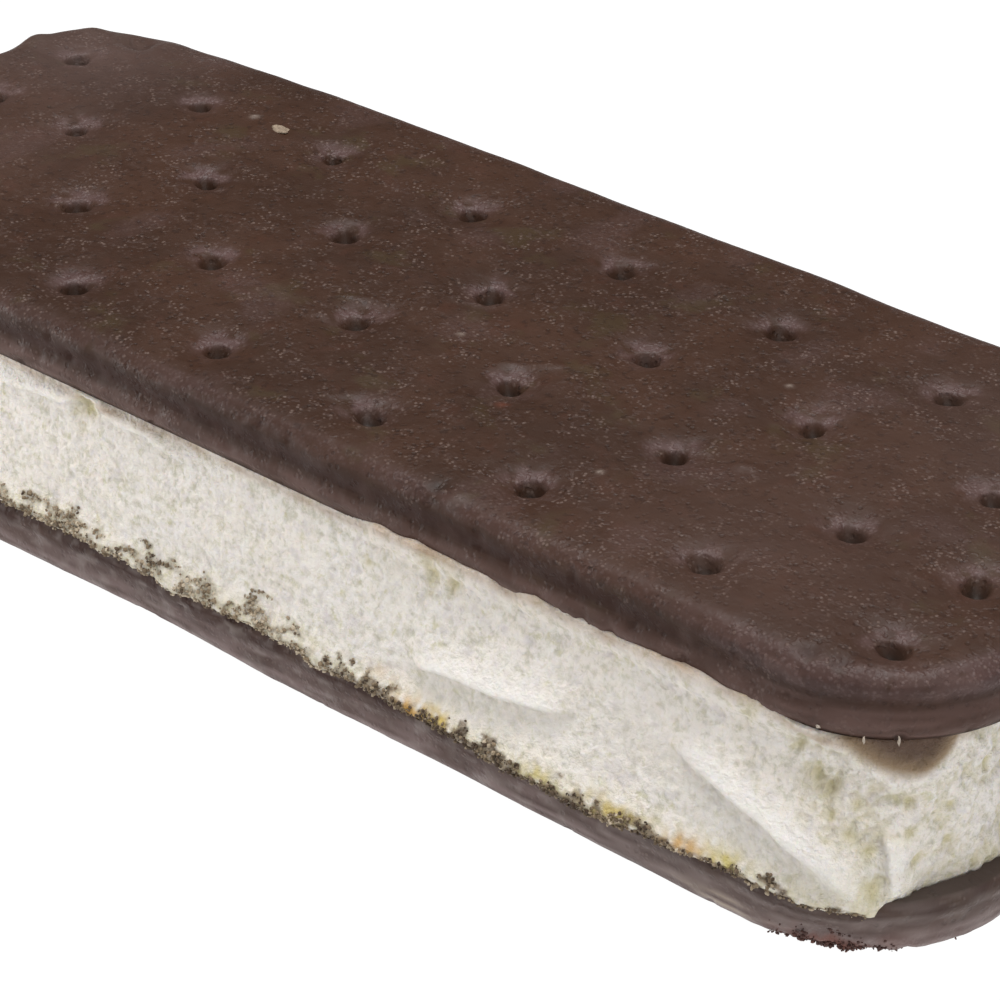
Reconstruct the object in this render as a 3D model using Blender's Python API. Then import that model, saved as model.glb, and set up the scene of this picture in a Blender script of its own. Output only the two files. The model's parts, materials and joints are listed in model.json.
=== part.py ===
"""Ice cream sandwich: a slab of vanilla ice cream between two docked chocolate wafers.

Metres, +Z up, +X along the sandwich. The origin is under the middle of the sandwich, on the
plane that it lies on. The two wafers are the same piece: the lower one is turned over, and it
sits a little out of line with the upper one, so the slab between them leans.
"""
import math

import bmesh
import bpy
from mathutils import Matrix, Vector, noise

# Both wafers
WAFER_LENGTH = 0.1217
WAFER_WIDTH = 0.0458
WAFER_THICKNESS = 0.0053
CORNER_RADIUS = 0.0101
WAFER_COLUMNS = 44
WAFER_ROWS = 16
EDGE_SWAY = 0.00035          # how far the baked edge wanders in and out
EDGE_WAVE = 0.024            # length of that wandering

# The wafer's rim from its flat top down to its inner face: how far the rim stands in from the
# wafer's widest line, and how high above the inner face. It rolls over, pulls in to a shallow
# groove and flares again to a skirt.
RIM = (
    (0.0034, 1.000),
    (0.0018, 0.955),
    (0.0008, 0.800),
    (0.0006, 0.480),
    (0.0000, 0.180),
    (0.0004, 0.000),
)

# Docker holes: four rows of eight. The outer rows line up, the inner ones are staggered by
# thirds of the pitch, and each inner row has one closer hole that lines it up with an end.
HOLE_PITCH = 0.0155
HOLES_PER_ROW = 8
ROW_SPACING = 0.0099
ROW_STAGGER = (0, 2 / 3, 1 / 3, 0)
PATTERN_SHIFT = (-0.0003, -0.0022)
HOLE_SIDES = 9
# A hole's radius at each depth: a soft mouth, a steep wall and a small floor
HOLE_PROFILE = ((0.0021, -0.0004), (0.0012, 0.0005), (0.0008, 0.0019))

# Ice cream slab
GAP = 0.0003                 # left between touching pieces
SLAB_THICKNESS = 0.0114
SLAB_LENGTH = 0.1186
SLAB_WIDTH = 0.0446
SLAB_CORNER_RADIUS = 0.0095
SLAB_COLUMNS = 60
SLAB_ROWS = 16
SLAB_LAYERS = 10
SLAB_BULGE = 0.0004

# How far the lower wafer sits from under the upper one
LOWER_WAFER_SHIFT = (0.0007, -0.0019)

# Folds on the slab's front: lips of ice cream that run between two points, given along the slab
# and up from its foot. A lip stands out by its rise, drops away sharply on its lower side and
# fades over its reach on its upper side.
FRONT_FOLDS = (
    ((0.0150, 0.0018), (0.0338, 0.0060), 0.0006, 0.0022),
    ((0.0410, 0.0075), (0.0545, 0.0004), 0.0010, 0.0024),
)
FOLD_UNDERCUT = 0.0006
# Soft swells and hollows of the front: centre along and up, half its length and half its height
# at which it has faded, and how far it stands out
FRONT_SWELLS = (
    ((0.0320, 0.0000), (0.0170, 0.0045), 0.0016),
    ((0.0505, 0.0072), (0.0045, 0.0030), -0.0007),
)
# A crisp upright edge where the front turns into the right-hand end
CORNER_EDGE = Vector((0.0563, -0.0203))
CORNER_EDGE_HEIGHT = 0.0008
CORNER_EDGE_REACH = 0.0014

CROWDING = 1.1               # how much closer the faces lie round the corners
SHARP_ANGLE = math.radians(40)
WAFER_COLOUR = (0.075, 0.046, 0.037, 1)
CREAM_COLOUR = (0.80, 0.74, 0.65, 1)


def clear_scene():
    for item in list(bpy.data.objects):
        bpy.data.objects.remove(item, do_unlink=True)


def material(name, colour, roughness):
    made = bpy.data.materials.new(name)
    made.use_nodes = True
    shader = made.node_tree.nodes["Principled BSDF"]
    shader.inputs["Base Color"].default_value = colour
    shader.inputs["Roughness"].default_value = roughness
    shader.inputs["Metallic"].default_value = 0
    return made


def make_object(name, bm, surface):
    mesh = bpy.data.meshes.new(name)
    bm.to_mesh(mesh)
    bm.free()
    made = bpy.data.objects.new(name, mesh)
    bpy.context.scene.collection.objects.link(made)
    mesh.materials.append(surface)
    mesh.shade_smooth()
    mesh.set_sharp_from_angle(angle=SHARP_ANGLE)
    return made


def round_corner(x, y, half_length, half_width, radius):
    """Where a point of a square-cornered plate goes when its corners are drawn in to arcs."""
    u = (abs(x) - half_length + radius) / radius
    v = (abs(y) - half_width + radius) / radius
    if u <= 0 or v <= 0:
        return x, y
    along = half_length - radius + radius * u * math.sqrt(1 - v * v / 2)
    across = half_width - radius + radius * v * math.sqrt(1 - u * u / 2)
    return math.copysign(along, x), math.copysign(across, y)


def outward(x, y, half_length, half_width, radius):
    """Direction straight out through the outline nearest to a point of the plate."""
    u = abs(x) - half_length + radius
    v = abs(y) - half_width + radius
    if u > 0 and v > 0:
        way = Vector((u, v)).normalized()
    elif u > v:
        way = Vector((1, 0))
    else:
        way = Vector((0, 1))
    return Vector((math.copysign(way.x, x), math.copysign(way.y, y), 0))


def crowd(place):
    """Moves a grid line, from -1 to 1 across the plate, so that lines crowd at the corners."""
    return math.sin(CROWDING * place) / math.sin(CROWDING)


def plate(bm, half_length, half_width, radius, columns, rows, height):
    """Makes one flat face with round corners, and returns its edges."""
    bmesh.ops.create_grid(bm, x_segments=columns, y_segments=rows, size=1)
    for vert in bm.verts:
        x = half_length * crowd(vert.co.x)
        y = half_width * crowd(vert.co.y)
        x, y = round_corner(x, y, half_length, half_width, radius)
        vert.co = (x, y, height)
    bmesh.ops.dissolve_faces(bm, faces=bm.faces, use_verts=False)
    return list(bm.edges)


def next_ring(bm, edges):
    """Draws a new ring of faces out of an edge loop."""
    made = bmesh.ops.extrude_edge_only(bm, edges=edges)["geom"]
    verts = [item for item in made if isinstance(item, bmesh.types.BMVert)]
    rim = [item for item in made if isinstance(item, bmesh.types.BMEdge) and item.is_boundary]
    return verts, rim


def close_up(bm, edges):
    """Fills the last ring with one flat face and turns every face outwards."""
    bmesh.ops.edgeloop_fill(bm, edges=edges)
    bmesh.ops.recalc_face_normals(bm, faces=bm.faces)


def edge_sway(x, y, seed):
    """How far the baked edge stands out of its true line at a place."""
    return EDGE_SWAY * noise.noise(Vector((x / EDGE_WAVE, y / EDGE_WAVE, seed)))


def wafer_body(seed):
    """A wafer without its holes, standing on its inner face."""
    inset = RIM[0][0]
    size = (WAFER_LENGTH / 2 - inset, WAFER_WIDTH / 2 - inset, CORNER_RADIUS - inset)
    bm = bmesh.new()
    rim = plate(bm, *size, WAFER_COLUMNS, WAFER_ROWS, WAFER_THICKNESS)
    for (inset_before, _), (inset_now, level) in zip(RIM, RIM[1:]):
        verts, rim = next_ring(bm, rim)
        for vert in verts:
            way = outward(vert.co.x, vert.co.y, *size)
            vert.co += way * (inset_before - inset_now)
            vert.co.z = level * WAFER_THICKNESS
    for vert in bm.verts:
        beyond = max(abs(vert.co.x) - size[0], abs(vert.co.y) - size[1])
        if beyond > -inset:
            way = outward(vert.co.x, vert.co.y, *size)
            vert.co += way * edge_sway(vert.co.x, vert.co.y, seed)
    close_up(bm, rim)
    return bm


def hole_places():
    """Centres of the docker holes, seen from the wafer's outer face."""
    for row, stagger in enumerate(ROW_STAGGER):
        steps = [stagger + count for count in range(HOLES_PER_ROW)]
        last = HOLES_PER_ROW - 1
        steps = [step for step in steps if step <= last]
        if stagger:
            steps.append(0 if stagger > 0.5 else last)
        y = ((len(ROW_STAGGER) - 1) / 2 - row) * ROW_SPACING
        for step in steps:
            yield (step - last / 2) * HOLE_PITCH + PATTERN_SHIFT[0], y + PATTERN_SHIFT[1]


def hole_plug(bm, x, y):
    """Adds a closed plug with a docker hole's profile, hung from just above the outer face."""
    radius, depth = HOLE_PROFILE[0]
    spot = Matrix.Translation((x, y, WAFER_THICKNESS - depth))
    made = bmesh.ops.create_circle(
        bm, cap_ends=True, segments=HOLE_SIDES, radius=radius, matrix=spot
    )
    face = made["verts"][0].link_faces[0]
    for next_radius, next_depth in HOLE_PROFILE[1:]:
        face = bmesh.ops.extrude_discrete_faces(bm, faces=[face])["faces"][0]
        share = next_radius / radius
        for vert in face.verts:
            vert.co.x = x + (vert.co.x - x) * share
            vert.co.y = y + (vert.co.y - y) * share
            vert.co.z = WAFER_THICKNESS - next_depth
        radius = next_radius
    bmesh.ops.edgeloop_fill(bm, edges=[edge for edge in bm.edges if edge.is_boundary])


def hole_plugs():
    """One mesh of all the plugs that the docker holes are cut with."""
    bm = bmesh.new()
    for x, y in hole_places():
        hole_plug(bm, x, y)
    bmesh.ops.recalc_face_normals(bm, faces=bm.faces)
    return bm


def cut_holes(wafer, surface):
    plugs = make_object(wafer.name + "_plugs", hole_plugs(), surface)
    plugs.parent = wafer
    plugs.hide_render = True
    plugs.display_type = "WIRE"
    cut = wafer.modifiers.new("docker_holes", "BOOLEAN")
    cut.operation = "DIFFERENCE"
    cut.solver = "EXACT"
    cut.object = plugs


def wafer(name, seed, surface):
    made = make_object(name, wafer_body(seed), surface)
    cut_holes(made, surface)
    return made


def fade(distance, reach):
    """A smooth bell, 1 at no distance and nearly 0 at twice the reach."""
    return math.exp(-(distance / reach) ** 2)


def front_relief(along, up):
    """How far the folds and swells of the slab's front lift it at a place."""
    height = 0
    for start, end, rise, reach in FRONT_FOLDS:
        run = Vector(end) - Vector(start)
        way = run.normalized()
        place = Vector((along, up)) - Vector(start)
        above = way.x * place.y - way.y * place.x
        beyond = max(-place.dot(way), place.dot(way) - run.length, 0)
        height += rise * fade(above, reach if above > 0 else FOLD_UNDERCUT) * fade(beyond, reach)
    for centre, size, rise in FRONT_SWELLS:
        height += rise * fade(along - centre[0], size[0]) * fade(up - centre[1], size[1])
    return height


def slab_relief(x, y, up, seed=5.0):
    """How far the slab's side stands out of its plain outline at a place."""
    level = up / SLAB_THICKNESS
    bulge = SLAB_BULGE * math.sin(math.pi * level)
    drift = edge_sway(x, y, seed + 2 * level)
    edge = (Vector((x, y)) - CORNER_EDGE).length
    corner = CORNER_EDGE_HEIGHT * math.exp(-(edge / CORNER_EDGE_REACH) ** 2)
    front = front_relief(x, up) if y < 0 else 0
    return bulge + drift + corner + front


def slab_body():
    """The ice cream, its foot at height 0 over the lower wafer and its top under the upper one."""
    half = (SLAB_LENGTH / 2, SLAB_WIDTH / 2)
    radius = SLAB_CORNER_RADIUS
    bm = bmesh.new()
    rim = plate(bm, *half, radius, SLAB_COLUMNS, SLAB_ROWS, SLAB_THICKNESS)
    for layer in range(SLAB_LAYERS):
        verts, rim = next_ring(bm, rim)
        for vert in verts:
            vert.co.z = SLAB_THICKNESS * (1 - (layer + 1) / SLAB_LAYERS)
    close_up(bm, rim)
    for vert in bm.verts:
        x, y, up = vert.co
        way = outward(x, y, *half, radius)
        vert.co += way * slab_relief(x, y, up)
        lean = 1 - up / SLAB_THICKNESS
        vert.co.x += LOWER_WAFER_SHIFT[0] * lean
        vert.co.y += LOWER_WAFER_SHIFT[1] * lean
    return bm


def stand_on_origin(pieces):
    """Moves the pieces together so that the origin is under the middle of their shared box."""
    bpy.context.view_layer.update()
    corners = [piece.matrix_world @ vert.co for piece in pieces for vert in piece.data.vertices]
    low = Vector([min(corner[axis] for corner in corners) for axis in range(3)])
    high = Vector([max(corner[axis] for corner in corners) for axis in range(3)])
    middle = (low + high) / 2
    for piece in pieces:
        piece.location -= Vector((middle.x, middle.y, low.z))


def main():
    clear_scene()
    baked = material("chocolate_wafer", WAFER_COLOUR, 0.75)
    cream = material("vanilla_ice_cream", CREAM_COLOUR, 0.6)

    lower = wafer("wafer_bottom", 3.0, baked)
    lower.rotation_euler.x = math.pi
    lower.location = (LOWER_WAFER_SHIFT[0], LOWER_WAFER_SHIFT[1], WAFER_THICKNESS)

    slab = make_object("ice_cream", slab_body(), cream)
    slab.location.z = WAFER_THICKNESS + GAP

    upper = wafer("wafer_top", 1.0, baked)
    upper.location.z = WAFER_THICKNESS + SLAB_THICKNESS + 2 * GAP

    stand_on_origin((lower, slab, upper))


main()
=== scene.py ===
"""Ice cream sandwich, finished: two baked chocolate wafers with docker holes, the slab of vanilla
ice cream between them, the crumbs that cling to them and a plain studio stage.

Metres, +Z up, +X along the sandwich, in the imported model's own frame.
"""
import json
import math
import random
from functools import cached_property
from typing import NamedTuple

import bmesh
import bpy
from bpy.props import FloatProperty, FloatVectorProperty, IntProperty, PointerProperty
from mathutils import Matrix, Vector, kdtree, noise

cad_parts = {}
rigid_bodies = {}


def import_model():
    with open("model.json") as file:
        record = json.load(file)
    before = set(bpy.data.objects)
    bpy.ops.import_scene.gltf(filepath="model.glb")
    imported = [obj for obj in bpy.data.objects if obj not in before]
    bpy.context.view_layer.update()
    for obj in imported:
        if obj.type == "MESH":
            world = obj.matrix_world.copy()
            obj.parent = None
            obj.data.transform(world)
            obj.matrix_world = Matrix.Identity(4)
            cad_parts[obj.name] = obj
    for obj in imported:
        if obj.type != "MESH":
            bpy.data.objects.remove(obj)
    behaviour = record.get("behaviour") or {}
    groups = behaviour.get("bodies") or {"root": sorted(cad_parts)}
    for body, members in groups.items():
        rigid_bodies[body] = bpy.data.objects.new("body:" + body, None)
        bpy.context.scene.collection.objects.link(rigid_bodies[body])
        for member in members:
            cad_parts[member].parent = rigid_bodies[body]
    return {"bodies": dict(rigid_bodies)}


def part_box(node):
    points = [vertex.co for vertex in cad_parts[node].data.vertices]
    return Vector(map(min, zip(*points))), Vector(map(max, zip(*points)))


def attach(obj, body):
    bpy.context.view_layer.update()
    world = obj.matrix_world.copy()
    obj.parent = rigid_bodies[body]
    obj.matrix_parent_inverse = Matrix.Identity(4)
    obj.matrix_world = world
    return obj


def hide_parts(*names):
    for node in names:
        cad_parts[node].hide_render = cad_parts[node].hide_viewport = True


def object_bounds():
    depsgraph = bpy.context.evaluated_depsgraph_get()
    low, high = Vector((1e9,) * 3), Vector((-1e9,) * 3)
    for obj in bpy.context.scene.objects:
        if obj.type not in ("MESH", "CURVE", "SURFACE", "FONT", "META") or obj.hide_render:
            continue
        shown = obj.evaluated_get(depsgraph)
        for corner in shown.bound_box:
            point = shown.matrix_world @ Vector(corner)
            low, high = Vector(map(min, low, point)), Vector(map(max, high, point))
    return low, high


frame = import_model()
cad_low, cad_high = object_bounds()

bl_info = {
    "name": "Ice Cream Sandwich",
    "version": (1, 0, 0),
    "blender": (4, 5, 0),
    "location": "3D View > Sidebar > Sandwich",
    "description": "Builds a vanilla ice cream sandwich between two docked chocolate wafers",
    "category": "Add Mesh",
}

BODY = next(iter(frame["bodies"]))

MM = 0.001

# The wafer's rim from its flat face down to its inner face: how far it stands in from the
# widest line, and how high above the inner face as a share of the thickness
UPPER_RIM = (
    (3.9 * MM, 1.0), (2.1 * MM, 0.987), (1.1 * MM, 0.945), (0.5 * MM, 0.855),
    (0.2 * MM, 0.72), (0.42 * MM, 0.5), (0.35 * MM, 0.38), (0.0 * MM, 0.19),
    (0.4 * MM, 0.0),
)
LOWER_RIM = (
    (3.7 * MM, 1.0), (2.3 * MM, 0.985), (1.35 * MM, 0.945), (0.7 * MM, 0.85),
    (0.35 * MM, 0.68), (0.25 * MM, 0.43), (0.0 * MM, 0.19), (0.4 * MM, 0.0),
)
RIM_STEPS = 3  # rings between two points of the rim
FACE_COLUMNS = 380
FACE_ROWS = 128
EDGE_SWAY = 0.00035  # how far the baked edge wanders in and out
EDGE_WAVE = 0.024  # length of that wandering
# How far the upper wafer's back edge sags, in millimetres: places along it and the drop there
BACK_SAG = (
    (-62.0, 0.0), (-57.0, 0.75), (-54.0, 0.9), (-50.0, 0.65), (-44.0, 0.45), (-37.0, 0.25),
    (-30.0, 0.0), (18.0, 0.0), (27.0, 0.25), (60.0, 0.25),
)
UPPER_SEED = 1.0
LOWER_SEED = 3.0
SLAB_SEED = 5.0
UPPER_PLACE = Vector((-0.25 * MM, 1.39 * MM, 0))  # middle of the upper wafer
LOWER_WAFER_SHIFT = Vector((0.7 * MM, -1.9 * MM, 0))  # how far off the lower wafer lies
INNER_LEVEL = 0.005  # the wafer's inner face lies below this share of its thickness
# Roughness of the crust: heights and lengths of its waves, and those of its grain as shares of
# the grain's own height
FACE_WAVES = ((0.00016, 0.017), (0.00006, 0.005))
RIM_WAVES = ((0.00015, 0.0042), (0.00006, 0.0014))
GRAIN_WAVES = ((1, 0.0006), (0.8, 0.0011))
SCRATCH = ((0.00006, 0.00035),)
NICK_DEPTH = 0.00025
FACE_BEGINS = (0.8, 0.93)  # levels, as shares of the thickness, over which rim turns into face
BORE_FADE = 1.7  # how fast a hole's smooth bore, darkened with painted shade, gives way to crust
TORN_RISE = 0.000012  # how rough the crust is where it is torn
CRUMBLED = (0.00045, 0.0007)  # how deep the broken corner is, and how uneven
BACK_EDGE = (15 * MM, 22.5 * MM)  # from where to where the back sags
CORNER_CROWN_SHEEN = (36 * MM, 50 * MM)  # where the crown's painted sheen widens and grows, along the rim
CORNER_RIM = (34 * MM, 48 * MM)  # where the groove's painted shade fades and the skirt's painted bounce light widens
SMEARED = (28 * MM, 40 * MM)  # where the smear on the lower rim comes in
FLOOR_GAP = 0.02 * MM  # keeps the floor and the wafer's flat foot from flickering
NO_TINT = (0, 0, 0, 0)

# Docker holes: four rows of eight, the inner rows staggered by thirds of the pitch
HOLE_PITCH = 0.0155
HOLES_PER_ROW = 8
ROW_SPACING = 0.0099
ROW_STAGGER = (0, 2 / 3, 1 / 3, 0)
PATTERN_SHIFT = (-0.0003, -0.0022)
HOLE_SEED = 12
HOLE_FINE_REACH = 0.0023  # the mesh is twice as fine this close to a hole
DISH_REACH = 0.0024
LIP_RING = (0.0027, 0.0006)  # radius and width of the low lip round a hole's dish
TORN_GLINT_RING = (1.4 * MM, 0.8 * MM)  # the crust is torn, and carries its painted glint, out to here, and fades beyond
GLINT_WAY = Vector((-0.65, 0.76))  # the dishes' far side, whose slope faces the camera: the painted glint lies there, and most of the tears too

# Marks on the upper face, in millimetres from its middle: ridges, each a line of points with its
# width and rise, then spots with their reach, rise, colour and how far they cover; the spots lay
# painted sheen, glints and shade beside real marks
CRUST_RIDGES = (
    (((-16.1, 4.3), (-13.7, 5.4)), 0.35, 0.16),
    (((-6.9, -5.5), (-4.6, -4.5), (-2.7, -3.7)), 0.35, 0.16),
    (((9.5, -5.7), (11.8, -4.4), (14.9, -2.0)), 0.4, 0.2),
    (((-0.6, 0.1), (1.6, 0.5), (3.5, 1.6), (4.5, 2.8), (4.4, 3.8)), 0.35, 0.16),
    (((32.0, -5.6), (34.3, -5.0)), 0.45, 0.18),
    (((13.1, 15.2), (15.5, 14.6), (17.9, 13.9)), 0.9, 0.16),
)
WRINKLE_START = (-22.3, -0.9)
WRINKLE_END = (-13.2, 1.3)
WRINKLES = 8
WRINKLE_HALF = (1.5, 1.25)
WRINKLE_WIDTH = 0.24
WRINKLE_RISE = 0.10
# The four wide pale spots are painted sheen; the small pale raised ones are painted glints; the
# dark sunk ones are painted shade in pits; the far left corner's lumps are paler where raised and
# darker where sunk; the small red one is a real mark
CRUST_SPOTS = (
    ((-54.0, 15.0), 11.0, 0.0, (0.115, 0.08, 0.073), 0.42),
    ((-46.0, -4.0), 9.0, 0.0, (0.1, 0.062, 0.052), 0.2),
    ((50.0, 14.0), 13.0, 0.0, (0.105, 0.066, 0.056), 0.32),
    ((42.0, -14.0), 12.0, 0.0, (0.095, 0.055, 0.044), 0.3),
    ((14.2, -9.9), 0.45, 0.0, (0.15, 0.045, 0.025), 0.5),
    ((18.1, -21.4), 0.7, -0.25, (0.02, 0.013, 0.01), 0.7),
    ((20.3, -21.8), 0.6, 0.22, (0.11, 0.085, 0.075), 0.5),
    ((50.2, -21.2), 0.7, -0.3, (0.04, 0.026, 0.024), 0.5),
    ((52.4, -20.6), 0.7, -0.3, (0.04, 0.026, 0.024), 0.5),
    ((-33.5, 13.6), 0.35, 0.15, (0.24, 0.19, 0.16), 0.8),
    ((5.0, -3.9), 0.25, 0.15, (0.24, 0.19, 0.16), 0.8),
    ((28.7, 6.0), 0.25, 0.15, (0.24, 0.19, 0.16), 0.8),
    ((25.7, -12.7), 0.25, 0.15, (0.24, 0.19, 0.16), 0.8),
    ((-60.0, 12.9), 1.3, 0.45, (0.09, 0.06, 0.05), 0.3),
    ((-57.5, 17.7), 1.3, 0.4, (0.09, 0.06, 0.05), 0.3),
    ((-52.7, 18.7), 1.2, -0.6, (0.04, 0.024, 0.018), 0.3),
    ((-50.8, 20.0), 1.1, 0.35, (0.09, 0.06, 0.05), 0.3),
    ((-59.4, 7.9), 1.2, 0.3, (0.09, 0.06, 0.05), 0.3),
)

SKIRT_BOUNCE_LIGHT = (0.14, 0.084, 0.072)  # the rim's paler lower part: painted bounce light from below, streaked with scuffs
PAINTED_RIM_SHADE = (0.03, 0.009, 0.005)  # painted shade: the dark band between the upper rim's crown and its skirt, and along the lower rim under the ice cream
BROKEN = (53.9 * MM, 3.4 * MM)  # middle and reach of the lower wafer's crumbled edge
BROKEN_SIDE = 10 * MM  # it lies further out than this
BROKEN_COLOUR = (0.17, 0.06, 0.042)
FILM_AND_FLOOR_SHEEN = (0.245, 0.18, 0.172)  # ice cream dried thin on the lower wafer, with painted sheen that grows towards the floor
SMEAR = (0.3, 0.255, 0.235)  # ice cream wiped thicker over it
INNER_FILM = (0.1, 0.08, 0.068)
RUN_PLACE = (45.6 * MM, 3.6 * MM)  # a run of ice cream along the lower wafer's side
RUN_REACH = (3.0 * MM, 0.45 * MM)
RUN_COLOUR = (0.58, 0.49, 0.37)

# Ice cream slab
SLAB_COLUMNS = 590
SLAB_ROWS = 210
SLAB_LAYERS = 58
TOP_INSET = 2.0 * MM  # how far the top's plain middle stands in from its edge
SLAB_BULGE = 0.4 * MM
SLAB_TUCK = 0.3 * MM  # the gap to each wafer, which the ice cream fills

# Where the ice cream has run over the lower wafer, in millimetres: places along the front and
# how far below the slab's foot it hangs there
FOOT_DROP = (
    (-27.5, 0.5), (-26.1, 0.1), (-22.8, -0.1), (-22.0, 0.42), (-20.1, 0.15), (-17.5, 0.0),
    (-15.0, 0.6), (-12.5, 0.05), (-11.3, 0.62), (-9.1, 0.6), (-7.5, 1.0), (-5.1, 0.58),
    (-3.0, 0.74), (-1.1, 0.4), (1.5, 0.0), (3.6, 0.44), (5.9, 0.35), (7.4, 0.95), (9.7, 0.6),
    (12.4, 0.3), (17.1, 0.36), (21.4, 0.05), (26.2, 0.52), (30.8, 0.4), (35.3, 0.7),
    (39.5, 0.46), (42.4, 0.42), (46.1, 0.1), (49.0, 0.3), (51.1, 0.25), (52.4, 0.75),
    (53.4, 0.6), (54.6, 0.7), (55.6, 0.75), (56.7, 0.95), (57.3, 0.0), (64.0, 0.0),
    (67.0, 0.4), (70.0, 0.3),
)
FOOT_REACH = 2.4 * MM  # height over which the foot flares out
FOOT_OVERHANG = 0.85 * MM

# Folds of the slab's front, in millimetres along it and up from its foot: a line of points, the
# rise, and how fast it falls away on the line's left and on its right
FOLDS = (
    (((16.5, 3.2), (20.4, 4.0), (26.9, 4.5), (29.6, 4.9), (33.5, 5.7)), 0.7, 1.9, 0.32),
    (((39.5, 7.0), (42.5, 6.3), (45.5, 5.4), (49.8, 4.2), (52.0, 3.1), (55.0, 1.3), (57.0, 0.0)),
     0.85, 2.1, 0.5),
    (((48.5, 11.4), (51.0, 11.2), (53.7, 10.6), (56.6, 8.9), (59.0, 7.4)), 0.45, 0.7, 0.3),
    (((56.8, 5.8), (57.2, 3.6), (57.6, 1.4), (57.7, 0.2)), 0.8, 1.7, 0.2),
    (((-28.0, 9.7), (-25.7, 9.6), (-22.7, 10.1), (-19.4, 10.3), (-17.6, 11.2), (-16.5, 11.3),
      (-15.2, 10.9), (-13.6, 10.5), (-10.3, 10.6), (-9.3, 10.2), (-6.7, 10.0), (-2.0, 10.6)),
     0.62, 0.55, 0.18),
)
# Soft swells and hollows of the front: centre along and up, half its length and half its height
# at which it has faded, and how far it stands out
SWELLS = (
    ((32.0, 0.0), (17.0, 4.5), 1.6),
    ((52.3, 8.2), (4.2, 2.4), -0.7),
    ((61.3, 0.0), (2.6, 5.0), -0.8),
)
# Where the ice cream has crept up over the upper wafer's edge, in millimetres along the front,
# and how far out and up it has crept
CREEP = (9.0, 14.0, 45.0, 53.0)
CREEP_OUT = 0.88 * MM
CREEP_UP = 0.90 * MM
# Open hollows of the front: centre, reach and depth
HOLLOWS = (
    ((51.9, 8.1), 0.9, 0.5), ((52.9, 7.4), 0.7, 0.45), ((54.6, 4.9), 0.7, 0.35),
    ((56.0, 3.9), 0.6, 0.35), ((59.3, 2.8), 0.5, 0.4), ((58.3, 7.2), 0.5, 0.25),
    ((58.5, 5.1), 0.5, 0.25), ((50.4, 10.0), 0.5, 0.3), ((53.4, 6.0), 0.4, 0.25),
    ((55.0, 7.0), 0.4, 0.2), ((61.5, 6.2), 0.4, 0.25), ((62.0, 3.2), 0.5, 0.3),
    ((-17.3, 10.5), 0.9, 0.35), ((18.5, 10.4), 0.8, 0.3), ((20.4, 10.2), 0.6, 0.3),
    ((12.5, 9.0), 0.4, 0.2), ((56.4, 1.5), 0.6, 0.3), ((64.5, 8.0), 0.4, 0.25),
)
POROUS_WAVE = 1.5  # width of the pores right of the long fold
POROUS_DEPTH = 0.20
POROUS_BEGINS = (46, 51)
PIT_CELL = 1.1 * MM
SOFT_WAVE = (0.00014, 0.003)  # height and length of the side's soft unevenness
BACK_DROP = (0.00045, 0.0009, 0.0062)  # where the foot hangs elsewhere: drop, sway, wave
RAGGED = ((0.00018, 0.0012, 2.0), (0.00012, 0.0005, 3.0))  # its fringe: sway, wave and seed
# Spans along the front, in millimetres, over which a look comes in
LACE_REACHES_UP = (5, 14)
LACE_DARKENS = (5, 16)
LACE_SINKS = (38, 46)
LACE_SINKS_MORE = (49, 53)
LACE_ENDS = (56, 57)
TAN_NARROWS = (32, 40)
TAN_WIDENS = (49, 53)
FLARE_ENDS = (44, 49)  # of the foot, towards the left and at the back
CREASE = ((57.0, 57.7), (63.5, 67))  # where the foot doesn't flare, from start to end
FLARE_ENDS_RIGHT = (70, 76)
# Stains: centre along and up, reach along and up, colour and how far they cover; the last is
# painted shade below the folds
STAINS = (
    ((18.6, 0.4), (1.6, 0.75), (0.62, 0.36, 0.1), 1.0),
    ((20.6, 0.8), (1.2, 0.6), (0.68, 0.5, 0.16), 1.0),
    ((30.5, 0.7), (1.6, 0.5), (0.62, 0.52, 0.22), 0.8),
    ((37.0, 0.9), (2.2, 0.55), (0.6, 0.47, 0.18), 0.9),
    ((43.5, 0.6), (1.8, 0.6), (0.64, 0.4, 0.17), 0.9),
    ((46.5, 0.8), (1.6, 0.6), (0.66, 0.56, 0.22), 0.8),
    ((15.0, 1.6), (1.6, 0.6), (0.72, 0.57, 0.42), 0.4),
    # a wide grey patch: painted shade below the folds
    ((37.3, 5.5), (5.0, 2.5), (0.76, 0.71, 0.65), 0.6),
)
# painted shade in the front's hollows, with the ice cream's greener tint there; also laid greener
# towards the foot
OLIVE = (0.6, 0.53, 0.27)
# Chocolate soaked into the foot, paler to the left, and its darker threads
LACE_PALE = (0.43, 0.37, 0.25)
LACE_DARK = (0.23, 0.165, 0.1)
THREAD_PALE = (0.18, 0.14, 0.09)
THREAD_DARK = (0.07, 0.048, 0.032)
TAN = (0.42, 0.29, 0.19)
# painted highlight on the folds' smooth lips
FOLD_HIGHLIGHT_CREAM = (0.97, 0.92, 0.87)
SHADED_CREAM = (0.7, 0.67, 0.6)
# Melted chocolate under the upper wafer's near right corner, in millimetres: the middle and the
# lowest point of its edge, its width to the left and right, and its colour above and below
MELT_LOW = (58.8, 8.8)
MELT_WIDTH = (6.0, 3.2)
MELT_DARK = (0.113, 0.066, 0.044)
MELT_PALE = (0.37, 0.262, 0.155)

CRUMB_SEED = 31
LEAST_CHANCE = 0.02  # places with less are left out
CRUMB_STRETCH = (0.65, 1.4)  # how much a crumb is drawn out each way
CRUMB_ROUGH = (0.75, 1.2)  # how far its corners stand out
CRUMB_JITTER = 0.00008  # how far it lies off its place
CRUMB_BATCH = 100  # crumbs made together, since small meshes are quick to add to
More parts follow.
